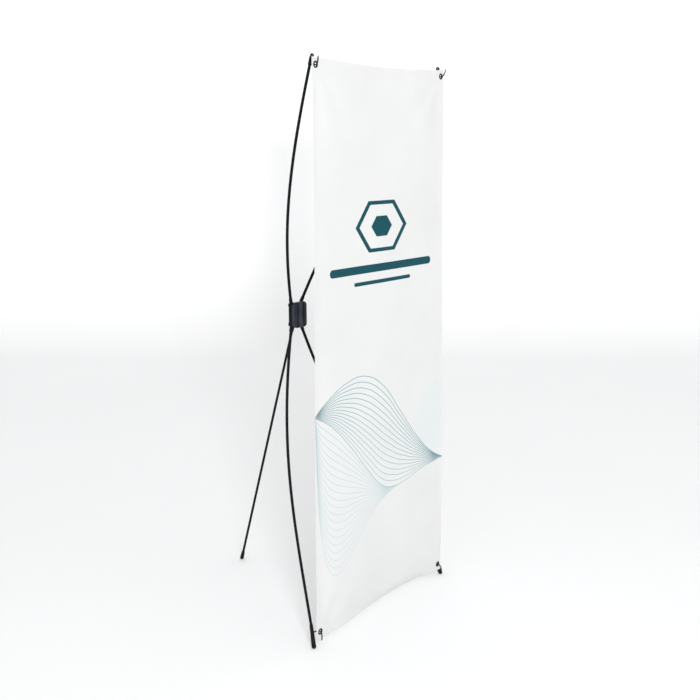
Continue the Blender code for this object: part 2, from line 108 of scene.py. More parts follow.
# ================================================================ materials
class Look:
    """A Principled material whose patterns are built from nodes in the piece's own coordinates, in metres."""

    def __init__(self, name, metallic=0.0, specular=0.5, coat=0.0, coat_roughness=0.2):
        self.material = bpy.data.materials.new(name)
        self.material.use_nodes = True
        self.tree = self.material.node_tree
        self.shader = self.tree.nodes["Principled BSDF"]
        self.shader.inputs["Metallic"].default_value = metallic
        self.shader.inputs["Specular IOR Level"].default_value = specular
        self.shader.inputs["Coat Weight"].default_value = coat
        self.shader.inputs["Coat Roughness"].default_value = coat_roughness
        self.coords = self.make("ShaderNodeTexCoord")
        self.place = self.coords.outputs["Object"]

    def put(self, socket, value):
        if isinstance(value, bpy.types.NodeSocket):
            self.tree.links.new(value, socket)
        else:
            socket.default_value = value

    def make(self, kind, ins=None, **settings):
        node = self.tree.nodes.new(kind)
        for key, value in settings.items():
            setattr(node, key, value)
        for key, value in (ins or {}).items():
            self.put(node.inputs[key], value)
        return node

    def calc(self, operation, a, b=0.0, c=0.0, clamp=False):
        node = self.make("ShaderNodeMath", {0: a, 1: b, 2: c}, operation=operation)
        node.use_clamp = clamp
        return node.outputs[0]

    def noise(self, scale, detail=2.0, roughness=0.5, at=None, distortion=0.0):
        node = self.make(
            "ShaderNodeTexNoise",
            {"Vector": at or self.place, "Scale": scale, "Detail": detail, "Roughness": roughness, "Distortion": distortion},
        )
        return node.outputs[0]

    def span(self, value, low, high, to_low, to_high, smooth=False):
        node = self.make("ShaderNodeMapRange", {"Value": value, "From Min": low, "From Max": high, "To Min": to_low, "To Max": to_high})
        node.interpolation_type = "SMOOTHSTEP" if smooth else "LINEAR"
        node.clamp = True
        return node.outputs[0]

    def tint(self, factor, a, b):
        node = self.make("ShaderNodeMix", data_type="RGBA")
        self.put(node.inputs[0], factor)
        self.put(node.inputs[6], (*a, 1.0) if isinstance(a, tuple) else a)
        self.put(node.inputs[7], (*b, 1.0) if isinstance(b, tuple) else b)
        return node.outputs[2]

    def stretched(self, x, y, z, source=None):
        node = self.make("ShaderNodeMapping", {"Vector": source or self.place, "Scale": (x, y, z)})
        return node.outputs[0]

    def bump(self, height, strength, distance, below=None):
        ins = {"Height": height, "Strength": strength, "Distance": distance}
        if below is not None:
            ins["Normal"] = below
        return self.make("ShaderNodeBump", ins).outputs[0]

    def colour(self, value):
        self.put(self.shader.inputs["Base Color"], value)

    def rough(self, value):
        self.put(self.shader.inputs["Roughness"], value)

    def normal(self, value):
        self.put(self.shader.inputs["Normal"], value)

    def edges(self, low=0.51, high=0.56):
        """How sharply the surface turns outward, for wear on rims and corners."""
        node = self.make("ShaderNodeNewGeometry")
        return self.span(node.outputs["Pointiness"], low, high, 0.0, 1.0, True)


def moulded(name, base, worn, rough_low, rough_high, grain=2600.0, grain_depth=0.00005, specular=0.12, groove_painted_shade=0.0):
    """Spark-eroded moulded plastic: fine grain, slow shade changes, rubbed rims and, where asked for, painted shade on
    the groove floors.
    """
    look = Look(name, specular=specular)
    slow = look.noise(38.0, 3.0, 0.55)
    fine = look.noise(grain, 2.0, 0.6)
    shade = look.tint(look.span(slow, 0.3, 0.7, 0.0, 1.0), tuple(c * 0.82 for c in base), tuple(c * 1.2 for c in base))
    scuffs = look.noise(160.0, 5.0, 0.65, look.stretched(1.0, 1.0, 0.3))
    rubbed = look.calc("MULTIPLY", look.edges(), look.span(scuffs, 0.42, 0.66, 0.15, 0.85, True), clamp=True)
    parts = look.make("ShaderNodeSeparateXYZ", {0: look.place})
    # painted shade: the floors of the two front grooves at x = ±13 mm, behind the cover's front face, are darkened
    # toward a fifth of the base colour
    off = look.calc("ABSOLUTE", look.calc("SUBTRACT", look.calc("ABSOLUTE", parts.outputs[0]), 0.013))
    painted_groove_shade = look.calc("MULTIPLY", look.span(off, 0.0026, 0.0034, 1.0, 0.0), look.span(parts.outputs[1], GROOVE_TOP + 0.0002, GROOVE_TOP + 0.001, 0.0, groove_painted_shade))
    shade = look.tint(painted_groove_shade, shade, tuple(c * 0.2 for c in base))
    look.colour(look.tint(rubbed, shade, worn))
    mixed = look.calc("ADD", look.calc("MULTIPLY", slow, 0.6), look.calc("MULTIPLY", fine, 0.4))
    look.rough(look.span(mixed, 0.35, 0.65, rough_low, rough_high))
    look.normal(look.bump(fine, 0.55, grain_depth, look.bump(slow, 0.2, 0.0004)))
    return look.material


GROOVE_TOP = (HUB[1] + HUB_FRONT - DEPTH_CENTRE) * MM
# the front cover carries painted shade in its grooves
HUB_PLASTIC = moulded("hub_plastic_moulded", (0.022, 0.0262, 0.0345), (0.06, 0.067, 0.08), 0.4, 0.56, groove_painted_shade=1.0)
# painted shade: the rear body is a darker copy of the hub plastic, standing in for the shade at the hub's sides between
# the plates
HUB_REAR_PAINTED_SHADE = moulded("hub_rear_moulded_painted_shade", (0.0085, 0.01, 0.0125), (0.032, 0.036, 0.043), 0.42, 0.58, specular=0.08)
HUB_INNER = moulded("hub_inner_moulded", (0.016, 0.017, 0.02), (0.045, 0.047, 0.052), 0.46, 0.62)
LUG_BLACK = moulded("lug_moulded", (0.007, 0.0075, 0.009), (0.03, 0.032, 0.036), 0.42, 0.58, 3200.0, specular=0.07)


def rod_look():
    """Pultruded glass-fibre rod with a black gel coat: faint lengthwise fibre lines, slow gloss changes and fine rubs."""
    look = Look("rod_gel_coat", specular=0.055)
    around = look.coords.outputs["UV"]
    fibres = look.noise(1.0, 3.0, 0.6, look.stretched(46.0, 9.0, 1.0, around))
    slow = look.noise(14.0, 3.0, 0.5)
    rubs = look.noise(1.0, 6.0, 0.7, look.stretched(9.0, 70.0, 1.0, around))
    shade = look.tint(look.span(fibres, 0.3, 0.72, 0.0, 1.0), (0.005, 0.0055, 0.0068), (0.0105, 0.0118, 0.0145))
    marks = look.span(rubs, 0.62, 0.78, 0.0, 0.5, True)
    look.colour(look.tint(marks, shade, (0.03, 0.0315, 0.034)))
    look.rough(look.calc("ADD", look.span(slow, 0.3, 0.7, 0.34, 0.48), look.calc("MULTIPLY", marks, 0.25)))
    look.normal(look.bump(fibres, 0.35, 0.00006))
    return look.material


def rubber_look():
    """Soft moulded vinyl: matt, a little dusty where it meets the floor."""
    look = Look("foot_soft_vinyl", specular=0.05)
    slow = look.noise(90.0, 4.0, 0.6)
    fine = look.noise(3000.0, 2.0, 0.6)
    base = look.tint(look.span(slow, 0.3, 0.7, 0.0, 1.0), (0.0075, 0.0075, 0.0082), (0.0145, 0.0145, 0.016))
    height = look.make("ShaderNodeSeparateXYZ", {0: look.place}).outputs[2]
    dusty = look.calc("MULTIPLY", look.span(height, 0.0005, 0.0065, 1.0, 0.0, True), look.span(look.noise(420.0, 5.0, 0.7), 0.4, 0.7, 0.1, 0.8))
    rubbed = look.calc("MULTIPLY", look.edges(0.52, 0.6), 0.35)
    look.colour(look.tint(dusty, look.tint(rubbed, base, (0.035, 0.035, 0.037)), (0.075, 0.072, 0.068)))
    look.rough(look.span(look.calc("ADD", slow, look.calc("MULTIPLY", fine, 0.5)), 0.5, 1.0, 0.5, 0.74))
    look.normal(look.bump(fine, 0.5, 0.00006, look.bump(slow, 0.3, 0.0002)))
    return look.material


def steel_look(name, base, low, high, uv):
    """Drawn and plated steel: lines along the wire, tiny pits and a slightly uneven plate."""
    look = Look(name, metallic=1.0)
    source = look.stretched(30.0, 60.0, 1.0, look.coords.outputs["UV"]) if uv else look.stretched(400.0, 400.0, 60.0)
    drawn = look.noise(1.0 if uv else 3.0, 4.0, 0.62, source)
    slow = look.noise(120.0, 3.0, 0.5)
    pits = look.noise(2400.0, 2.0, 0.5)
    shade = look.tint(look.span(slow, 0.3, 0.7, 0.0, 1.0), tuple(c * 0.84 for c in base), base)
    look.colour(look.tint(look.span(pits, 0.66, 0.8, 0.0, 0.45), shade, tuple(c * 0.4 for c in base)))
    look.rough(look.span(drawn, 0.3, 0.7, low, high))
    look.normal(look.bump(drawn, 0.3, 0.00003))
    return look.material


def eyelet_look():
    """Black enamelled brass: a smooth coat worn to the metal in a few spots on the rolled rim."""
    look = Look("eyelet_black_enamel", specular=0.07, coat=0.02, coat_roughness=0.15)
    slow = look.noise(260.0, 3.0, 0.5)
    chips = look.noise(900.0, 5.0, 0.7)
    worn = look.calc("MULTIPLY", look.edges(0.54, 0.64), look.span(chips, 0.6, 0.72, 0.0, 0.8, True))
    base = look.tint(look.span(slow, 0.3, 0.7, 0.0, 1.0), (0.004, 0.004, 0.0046), (0.009, 0.009, 0.0102))
    look.colour(look.tint(worn, base, (0.2, 0.17, 0.13)))
    look.rough(look.span(slow, 0.3, 0.7, 0.24, 0.4))
    look.normal(look.bump(look.noise(1500.0, 2.0, 0.5), 0.3, 0.00004))
    return look.material


ROD_BLACK = rod_look()
RUBBER = rubber_look()
HOOK_STEEL = steel_look("hook_black_nickel", (0.05, 0.0515, 0.057), 0.2, 0.38, True)
PIN_STEEL = steel_look("pin_zinc_steel", (0.52, 0.53, 0.55), 0.26, 0.46, False)
EYELET = eyelet_look()


def film(look, base_low, base_high):
    """The sheet's own white: calendered film with slow clouding, fine grain and faint rolling lines. Returns its colour."""
    cloud = look.noise(5.0, 4.0, 0.55)
    grain = look.noise(1700.0, 2.0, 0.6)
    rolled = look.noise(1.0, 3.0, 0.6, look.stretched(240.0, 1.0, 5.0))
    look.rough(look.span(look.calc("ADD", look.calc("MULTIPLY", cloud, 0.7), look.calc("MULTIPLY", rolled, 0.3)), 0.35, 0.65, 0.4, 0.54))
    look.normal(look.bump(grain, 0.22, 0.00003, look.bump(rolled, 0.12, 0.00006, look.bump(look.noise(11.0, 3.0, 0.5), 0.25, 0.0012))))
    return look.tint(look.span(cloud, 0.3, 0.7, 0.0, 1.0), base_low, base_high)


def curve_node(look, at, points):
    node = look.make("ShaderNodeFloatCurve", {"Factor": 1.0, "Value": at})
    curve = node.mapping.curves[0]
    while len(curve.points) < len(points):
        curve.points.new(0.5, 0.5)
    for point, (x, y) in zip(curve.points, points):
        point.location = (x, y)
        point.handle_type = "AUTO"
    node.mapping.extend = "HORIZONTAL"
    node.mapping.update()
    return node.outputs[0]


# The printed pattern's three guide lines: share of the sheet's width against height in metres.
CREST = [(0.0, 0.668), (0.1, 0.706), (0.22, 0.737), (0.36, 0.744), (0.5, 0.7), (0.64, 0.607), (0.78, 0.508), (0.9, 0.442), (1.0, 0.41)]
THROAT = [(0.0, 0.666), (0.12, 0.625), (0.25, 0.55), (0.38, 0.46), (0.5, 0.392), (0.6, 0.375), (0.7, 0.38), (0.81, 0.395), (1.0, 0.407)]
BOWL = [(0.0, 0.66), (0.01, 0.52), (0.03, 0.36), (0.065, 0.245), (0.12, 0.19), (0.18, 0.19), (0.26, 0.229), (0.34, 0.28), (0.42, 0.322), (0.5, 0.35), (0.6, 0.369), (0.7, 0.3795), (0.81, 0.3945), (1.0, 0.4065)]


def print_look():
    """White film printed with a plain six-sided badge, two plain bars and a family of blended wave lines."""
    look = Look("banner_print", specular=0.08)
    white = film(look, (0.63, 0.632, 0.632), (0.662, 0.664, 0.664))
    parts = look.make("ShaderNodeSeparateXYZ", {0: look.place})
    x, z = parts.outputs[0], parts.outputs[2]
    share = look.span(x, -0.305, 0.305, 0.0, 1.0)
    step = 1.0 / 80
    ahead = look.calc("ADD", share, step)

    def lines(top, low, count, width):
        """Coverage of lines blended from one guide to the other, each of the same width whatever its slope."""
        a, b = curve_node(look, share, top), curve_node(look, share, low)
        a2, b2 = curve_node(look, ahead, top), curve_node(look, ahead, low)
        gap = look.calc("MAXIMUM", look.calc("SUBTRACT", a, b), 0.0004)
        place = look.calc("DIVIDE", look.calc("SUBTRACT", z, b), gap)
        inside = look.calc("MULTIPLY", look.calc("GREATER_THAN", place, -0.5 / count), look.calc("LESS_THAN", place, 1.0 + 0.5 / count))
        near = look.calc("PINGPONG", look.calc("MULTIPLY", place, float(count)), 0.5)
        away = look.calc("MULTIPLY", look.calc("DIVIDE", near, float(count)), gap)
        slope_a = look.calc("DIVIDE", look.calc("SUBTRACT", a2, a), step * 0.61)
        slope_b = look.calc("DIVIDE", look.calc("SUBTRACT", b2, b), step * 0.61)
        slope = look.calc("ADD", look.calc("MULTIPLY", place, slope_a), look.calc("MULTIPLY", look.calc("SUBTRACT", 1.0, place), slope_b))
        lean = look.calc("SQRT", look.calc("ADD", look.calc("MULTIPLY", slope, slope), 1.0))
        true = look.calc("DIVIDE", away, lean)
        drawn = look.calc("MULTIPLY", look.span(true, width * 0.5 - 0.00015, width * 0.5 + 0.00025, 1.0, 0.0), inside)
        filled = look.calc("MULTIPLY", look.calc("GREATER_THAN", place, 0.0), look.calc("LESS_THAN", place, 1.0))
        return drawn, place, filled

    upper, upper_place, upper_fill = lines(CREST, THROAT, 15, 0.0017)
    lower, lower_place, lower_fill = lines(THROAT, BOWL, 19, 0.0015)
    ink = look.span(upper_place, 0.0, 1.0, 0.5, 0.8)
    pale = look.calc("MULTIPLY", look.span(lower_place, 0.0, 1.0, 0.34, 0.55), look.span(share, 0.0, 0.62, 1.0, 0.6))
    wash = look.tint(look.calc("MAXIMUM", look.calc("MULTIPLY", upper_fill, 0.09), look.calc("MULTIPLY", lower_fill, 0.045)), white, (0.46, 0.7, 0.72))
    # a pale disc that runs off the right-hand edge
    across, over = look.calc("SUBTRACT", x, 0.281), look.calc("SUBTRACT", z, 0.552)
    reach = look.calc("SQRT", look.calc("ADD", look.calc("MULTIPLY", across, across), look.calc("MULTIPLY", over, over)))
    disc = look.span(reach, 0.1135, 0.1145, 0.09, 0.0)
    wash = look.tint(disc, wash, (0.36, 0.68, 0.7))
    teal, soft_teal = (0.0008, 0.06, 0.078), (0.12, 0.31, 0.335)
    print_1 = look.tint(look.calc("MULTIPLY", lower, pale), wash, soft_teal)
    print_2 = look.tint(look.calc("MULTIPLY", upper, ink), print_1, (0.004, 0.135, 0.165))

    # badge: a six-sided ring with a solid six-sided centre, wider than tall
    px = look.calc("DIVIDE", look.calc("ABSOLUTE", look.calc("ADD", x, 0.006)), 1.42)
    pz = look.calc("ABSOLUTE", look.calc("SUBTRACT", z, 1.17))
    rim = look.calc("MAXIMUM", pz, look.calc("ADD", look.calc("MULTIPLY", px, 0.866), look.calc("MULTIPLY", pz, 0.5)))
    ring = look.calc("MULTIPLY", look.calc("LESS_THAN", rim, 0.0725), look.calc("GREATER_THAN", rim, 0.0615))
    core = look.calc("LESS_THAN", rim, 0.029)

    def bar(centre_x, centre_z, half_w, half_h):
        """A bar with round ends."""
        along = look.calc("MAXIMUM", look.calc("SUBTRACT", look.calc("ABSOLUTE", look.calc("SUBTRACT", x, centre_x)), half_w - half_h), 0.0)
        up = look.calc("SUBTRACT", z, centre_z)
        length = look.calc("SQRT", look.calc("ADD", look.calc("MULTIPLY", along, along), look.calc("MULTIPLY", up, up)))
        return look.calc("LESS_THAN", length, half_h)

    mark = look.calc("MAXIMUM", look.calc("MAXIMUM", ring, core), look.calc("MAXIMUM", bar(0.0, 1.052, 0.238, 0.0115), bar(0.0, 1.012, 0.132, 0.0055)))
    density = look.span(look.noise(900.0, 3.0, 0.6), 0.3, 0.7, 0.985, 1.0)
    look.colour(look.tint(look.calc("MULTIPLY", mark, density), print_2, teal))
    return look.material


def back_look():
    look = Look("banner_back", specular=0.08)
    look.colour(film(look, (0.632, 0.637, 0.64), (0.667, 0.671, 0.674)))
    return look.material


def edge_look():
    look = Look("banner_cut_edge", specular=0.3)
    look.colour(look.tint(look.noise(700.0, 3.0, 0.6), (0.72, 0.725, 0.73), (0.84, 0.845, 0.85)))
    look.rough(look.span(look.noise(900.0, 3.0, 0.6), 0.3, 0.7, 0.5, 0.7))
    return look.material


PRINT, BACK, CUT = print_look(), back_look(), edge_look()


# ================================================================ shapes
def aim(origin, z_axis, x_hint=(1.0, 0.0, 0.0)):
    z = Vector(z_axis).normalized()
    y = z.cross(Vector(x_hint)).normalized()
    x = y.cross(z)
    made = Matrix((x, y, z)).transposed().to_4x4()
    made.translation = origin
    return made


def put(obj, matrix=None):
    helpers.objects.link(obj)
    if matrix is not None:
        obj.matrix_world = matrix
    return obj


def from_bmesh(name, bm):
    mesh = bpy.data.meshes.new(name)
    bm.to_mesh(mesh)
    bm.free()
    return bpy.data.objects.new(name, mesh)


def box(name, low, high):
    bm = bmesh.new()
    bmesh.ops.create_cube(bm, size=1.0)
    bmesh.ops.scale(bm, verts=bm.verts, vec=[(b - a) * MM for a, b in zip(low, high)])
    bmesh.ops.translate(bm, verts=bm.verts, vec=[(a + b) / 2 * MM for a, b in zip(low, high)])
    return from_bmesh(name, bm)


def cylinder(name, radius, low, high, sides=64, radius_top=None):
    bm = bmesh.new()
    top = radius if radius_top is None else radius_top
    bmesh.ops.create_cone(bm, cap_ends=True, segments=sides, radius1=radius * MM, radius2=top * MM, depth=(high - low) * MM)
    bmesh.ops.translate(bm, verts=bm.verts, vec=(0, 0, (low + high) / 2 * MM))
    return from_bmesh(name, bm)


def soften(profile, radius, steps=3, closed=False):
    """The same polyline with its corners rounded, by at most radius and half of each neighbouring run."""
    made = []
    count = len(profile)
    for i, here in enumerate(profile):
        if not closed and i in (0, count - 1):
            made.append(here)
            continue
        before, after = Vector(profile[i - 1]), Vector(profile[(i + 1) % count])
        at = Vector(here)
        one, two = before - at, after - at
        if one.length < 1e-6 or two.length < 1e-6 or one.angle(two) > math.radians(172):
            made.append(here)
            continue
        cut = min(radius, one.length * 0.45, two.length * 0.45)
        a, b = at + one.normalized() * cut, at + two.normalized() * cut
        for k in range(steps + 1):
            t = k / steps
            made.append(tuple(a * (1 - t) ** 2 + at * 2 * t * (1 - t) + b * t * t))
    return made


def turned(name, profile, steps=56, ring=False):
    mesh = bpy.data.meshes.new(name)
    count = len(profile)
    edges = [(i, i + 1) for i in range(count - 1)]
    if ring:
        edges.append((count - 1, 0))
    mesh.from_pydata([(r * MM, 0.0, h * MM) for r, h in profile], edges, [])
    obj = bpy.data.objects.new(name, mesh)
    screw = obj.modifiers.new("turn", "SCREW")
    screw.axis = "Z"
    screw.steps = screw.render_steps = steps
    screw.use_merge_vertices = True
    screw.merge_threshold = 0.00001
    return obj


def boolean(obj, other, operation="DIFFERENCE"):
    made = obj.modifiers.new(other.name, "BOOLEAN")
    made.operation = operation
    made.solver = "EXACT"
    made.object = other
    return obj


def bevel(obj, width, segments=4, angle=30.0):
    made = obj.modifiers.new("edges", "BEVEL")
    made.width = width * MM
    made.segments = segments
    made.limit_method = "ANGLE"
    made.angle_limit = math.radians(angle)
    return obj


def outline(name, loops, half_thickness, matrix):
    curve = bpy.data.curves.new(name, "CURVE")
    curve.dimensions = "2D"
    curve.fill_mode = "BOTH"
    curve.extrude = half_thickness * MM
    for loop in loops:
        spline = curve.splines.new("POLY")
        spline.points.add(len(loop) - 1)
        for point, (x, y) in zip(spline.points, loop):
            point.co = (x * MM, y * MM, 0.0, 1.0)
        spline.use_cyclic_u = True
    obj = bpy.data.objects.new(name, curve)
    bpy.context.scene.collection.objects.link(obj)
    graph = bpy.context.evaluated_depsgraph_get()
    mesh = bpy.data.meshes.new_from_object(obj.evaluated_get(graph))
    bpy.data.objects.remove(obj, do_unlink=True)
    bm = bmesh.new()
    bm.from_mesh(mesh)
    bmesh.ops.remove_doubles(bm, verts=bm.verts, dist=1e-6)
    bmesh.ops.recalc_face_normals(bm, faces=bm.faces)
    bmesh.ops.dissolve_limit(bm, angle_limit=math.radians(0.5), verts=bm.verts, edges=bm.edges)
    bm.to_mesh(mesh)
    bm.free()
    made = bpy.data.objects.new(name, mesh)
    return put(made, matrix)


def rounded(half_w, low, high, radius, steps=12):
    points = []
    corners = (
        (half_w - radius, high - radius, 0),
        (-half_w + radius, high - radius, 90),
        (-half_w + radius, low + radius, 180),
        (half_w - radius, low + radius, 270),
    )
    for cx, cy, start in corners:
        for i in range(steps + 1):
            a = math.radians(start + 90 * i / steps)
            points.append((cx + radius * math.cos(a), cy + radius * math.sin(a)))
    return points


def bezier(p0, p1, p2, p3, count):
    for i in range(count + 1):
        t = i / count
        yield p0 * (1 - t) ** 3 + p1 * 3 * t * (1 - t) ** 2 + p2 * 3 * t * t * (1 - t) + p3 * t**3


def smooth_route(points, each=8):
    """A centripetal curve through the points."""
    ends = [points[0] * 2 - points[1], *points, points[-1] * 2 - points[-2]]
    made = []
    for i in range(1, len(ends) - 2):
        a, b, c, d = ends[i - 1 : i + 3]
        t0 = 0.0
        t1 = t0 + (b - a).length ** 0.5
        t2 = t1 + (c - b).length ** 0.5
        t3 = t2 + (d - c).length ** 0.5
        for k in range(each):
            t = t1 + (t2 - t1) * k / each
            a1 = a * ((t1 - t) / (t1 - t0)) + b * ((t - t0) / (t1 - t0))
            a2 = b * ((t2 - t) / (t2 - t1)) + c * ((t - t1) / (t2 - t1))
            a3 = c * ((t3 - t) / (t3 - t2)) + d * ((t - t2) / (t3 - t2))
            b1 = a1 * ((t2 - t) / (t2 - t0)) + a2 * ((t - t0) / (t2 - t0))
            b2 = a2 * ((t3 - t) / (t3 - t1)) + a3 * ((t - t1) / (t3 - t1))
            made.append(b1 * ((t2 - t) / (t2 - t1)) + b2 * ((t - t1) / (t2 - t1)))
    made.append(points[-1].copy())
    return made


def sweep(name, path, radius, sides=28, ends=("flat", "flat"), root=None, tip=None):
    """A round bar along world points, with round or chamfered ends and a UV map: u round it, v along it in metres. root and tip are the radii that it starts and ends with."""
    radius *= MM
    root, tip = (root or radius / MM) * MM, (tip or radius / MM) * MM
    whole = sum((b - a).length for a, b in zip(path, path[1:]))
    sizes, done = [], 0.0
    for i, at in enumerate(path):
        done += (at - path[i - 1]).length if i else 0.0
        sizes.append(root + (tip - root) * done / whole)
    first = (path[1] - path[0]).normalized()
    last = (path[-1] - path[-2]).normalized()
    rings = [(p, r, None) for p, r in zip(path, sizes)]

    def end(point, out, kind, radius):
        if kind == "round":
            return [(point - out * radius * (1 - math.sin(a)), radius * math.cos(a), out) for a in (math.radians(d) for d in (0, 15, 30, 45, 60, 75))], point
        chamfer = 0.12 * radius
        return [(point - out * chamfer, radius, out), (point - out * chamfer * 0.3, radius - chamfer * 0.7, out), (point, radius - chamfer, out)], point

    head, head_point = end(path[0], -first, ends[0], root)
    tail, tail_point = end(path[-1], last, ends[1], tip)
    body = [r for r in rings[1:-1] if (r[0] - path[0]).length > radius * 1.05 and (r[0] - path[-1]).length > radius * 1.05]
    rings = [(p, r, first) for p, r, _ in reversed(head)] + body + [(p, r, last) for p, r, _ in tail]
    bm = bmesh.new()
    uv = bm.loops.layers.uv.new("UVMap")
    side = first.orthogonal().normalized()
    before = first
    loops, lengths, run = [], [], 0.0
    for i, (point, r, fixed) in enumerate(rings):
        if fixed is not None:
            along = fixed
        else:
            along = (rings[i + 1][0] - rings[i - 1][0]).normalized()
        side = before.rotation_difference(along) @ side
        side = (side - along * side.dot(along)).normalized()
        other = along.cross(side)
        before = along
        loops.append([bm.verts.new(point + (side * math.cos(t) + other * math.sin(t)) * r) for t in (2 * math.pi * k / sides for k in range(sides))])
        if i:
            run += (point - rings[i - 1][0]).length
        lengths.append(run)
    for i in range(len(loops) - 1):
        for k in range(sides):
            n = (k + 1) % sides
            face = bm.faces.new((loops[i][k], loops[i][n], loops[i + 1][n], loops[i + 1][k]))
            for loop, (u, v) in zip(face.loops, ((k, i), (k + 1, i), (k + 1, i + 1), (k, i + 1))):
                loop[uv].uv = (u / sides, lengths[v])
    for ring_loop, tip, sign in ((loops[0], head_point, -1), (loops[-1], tail_point, 1)):
        centre = bm.verts.new(tip)
        for k in range(sides):
            n = (k + 1) % sides
            trio = (ring_loop[k], ring_loop[n], centre) if sign > 0 else (ring_loop[n], ring_loop[k], centre)
            face = bm.faces.new(trio)
            for loop in face.loops:
                loop[uv].uv = (k / sides, lengths[-1] if sign > 0 else 0.0)
    return from_bmesh(name, bm)


graph_pieces = []


def finish(source, name, body, nodes, look, sharp=33.0):
    """Turns a helper with its modifiers into a shown piece in world coordinates, on its body, in place of its CAD nodes."""
    if not source.users_collection:
        put(source)
    bpy.context.view_layer.update()
    graph = bpy.context.evaluated_depsgraph_get()
    mesh = bpy.data.meshes.new_from_object(source.evaluated_get(graph), preserve_all_data_layers=True, depsgraph=graph)
    mesh.transform(source.matrix_world)
    bm = bmesh.new()
    bm.from_mesh(mesh)
    bmesh.ops.remove_doubles(bm, verts=bm.verts, dist=2e-7)
    bmesh.ops.dissolve_degenerate(bm, edges=bm.edges, dist=2e-7)
    bmesh.ops.recalc_face_normals(bm, faces=bm.faces)
    for face in bm.faces:
        face.material_index = 0
    bm.to_mesh(mesh)
    bm.free()
    mesh.materials.clear()
    mesh.materials.append(look)
    mesh.shade_smooth()
    mesh.set_sharp_from_angle(angle=math.radians(sharp))
    mesh.name = name
    piece = bpy.data.objects.new(name, mesh)
    shown.objects.link(piece)
    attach(piece, body)
    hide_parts(*nodes)
    return piece


UPRIGHT = Matrix(((1, 0, 0, 0), (0, 0, -1, 0), (0, 1, 0, 0), (0, 0, 0, 1)))


def upright(y, about_hub=True):
    return Matrix.Translation(local(0, y, 0) if about_hub else P(0, y, 0)) @ UPRIGHT


# ---------------------------------------------------------------- hub
cover = outline("cover", [rounded(HUB_HALF_W, -HUB_HALF_H, HUB_HALF_H, 12.0)], (-8.8 - HUB_FRONT) / 2, upright((HUB_FRONT - 8.8) / 2))
bevel(cover, 2.4, 6)
boolean(cover, outline("cover_hollow", [rounded(25.2, -33.5, 33.5, 8.0)], 5.6, upright(-13.4)))
for side in (-1, 1):
    # each groove has a flat bottom and slanted walls
    groove = outline(f"cover_groove_{side}", [[(-3.0, 0.9), (-2.3, -2.5), (-2.0, -2.8), (2.0, -2.8), (2.3, -2.5), (3.0, 0.9)]], 60.0, Matrix())
    groove.matrix_world = Matrix.Translation(local(side * 13.0, HUB_FRONT, 0)) @ Matrix(((1, 0, 0, 0), (0, -1, 0, 0), (0, 0, -1, 0), (0, 0, 0, 1)))
    boolean(cover, groove)
# a parting line round the cover's rim, where the two mould halves meet
for i, depth in enumerate((-11.4,)):
    line = outline(f"parting_{i}", [rounded(HUB_HALF_W + 3, -HUB_HALF_H - 3, HUB_HALF_H + 3, 15.0), rounded(HUB_HALF_W - 0.25, -HUB_HALF_H + 0.25, HUB_HALF_H - 0.25, 11.75)], 0.16, upright(depth))
    boolean(cover, line)
boss_heights = (23.0, 5.0, -12.0)
for i, height in enumerate(boss_heights):
    boolean(cover, put(cylinder(f"cover_boss_{i}", 3.6, -19.4, -8.8, 40), aim(local(0, 0, height), (0, 1, 0))), "UNION")

plate = outline("plate", [rounded(24.6, -34.5, 34.5, 4.5)], 1.35, upright(-7.0))
spacer = bevel(put(box("spacer", (-9.5, -5.2, -17.0), (9.5, 5.2, 37.0)), Matrix.Translation(local(0, 0, 0))), 1.0, 4)

rear = outline("rear", [rounded(14.6, -38.5, 33.0, 5.0)], (HUB_REAR - SLOT) / 2, upright((HUB_REAR + SLOT) / 2))
bevel(rear, 1.8, 5)
boolean(rear, bevel(outline("rear_top_ears", [rounded(24.5, 24.5, 36.0, 5.2)], 2.15, upright(SLOT + 2.15)), 0.8, 4), "UNION")
boolean(rear, put(bevel(box("rear_low_ears", (-26.0, SLOT, -35.5), (26.0, 8.7, -24.5)), 1.0, 4), Matrix.Translation(local(0, 0, 0))), "UNION")
boolean(rear, put(box("rear_leg_slot", (-6.0, SLOT - 2, -42.0), (6.0, HUB_REAR + 2, -19.5)), Matrix.Translation(local(0, 0, 0))))
for side in (-1, 1):
    boolean(rear, put(box(f"rear_groove_{side}", (-1.2, HUB_REAR - 1.2, -60), (1.2, HUB_REAR + 2, 60)), Matrix.Translation(local(side * 9.5, 0, 0))))

for i, (height, label) in enumerate(zip(boss_heights, ("top", "middle", "bottom"))):
    at = aim(local(0, 0, height), (0, 1, 0))
    profile = [(0, 15.2), (2.4, 15.2), (2.9, 14.6), (2.9, 13.2), (1.5, 13.2), (1.5, -16.4), (0.9, -17.2), (0, -17.2)]
    screw = put(turned(f"screw_{label}", soften(profile, 0.35, 3), 48), at)
    # a cross recess with tapered arms
    for turn in (0, 90):
        arm = bevel(box(f"cross_{i}_{turn}", (-0.42, -1.75, 13.7), (0.42, 1.75, 16.5)), 0.12, 2)
        boolean(screw, put(arm, at @ Matrix.Rotation(math.radians(turn + 12 * i), 4, "Z")))
    finish(screw, f"hub_screw_{label}_fine", "hub", [f"hub_screw_{label}"], PIN_STEEL)
    bore_profile = [(0, 20.0), (3.3, 20.0), (3.3, 12.8), (1.85, 12.8), (1.85, -17.6), (0, -17.6)]
    bore = put(turned(f"screw_bore_{i}", bore_profile, 48), at)
    for piece in (cover, plate, spacer, rear):
        boolean(piece, bore)

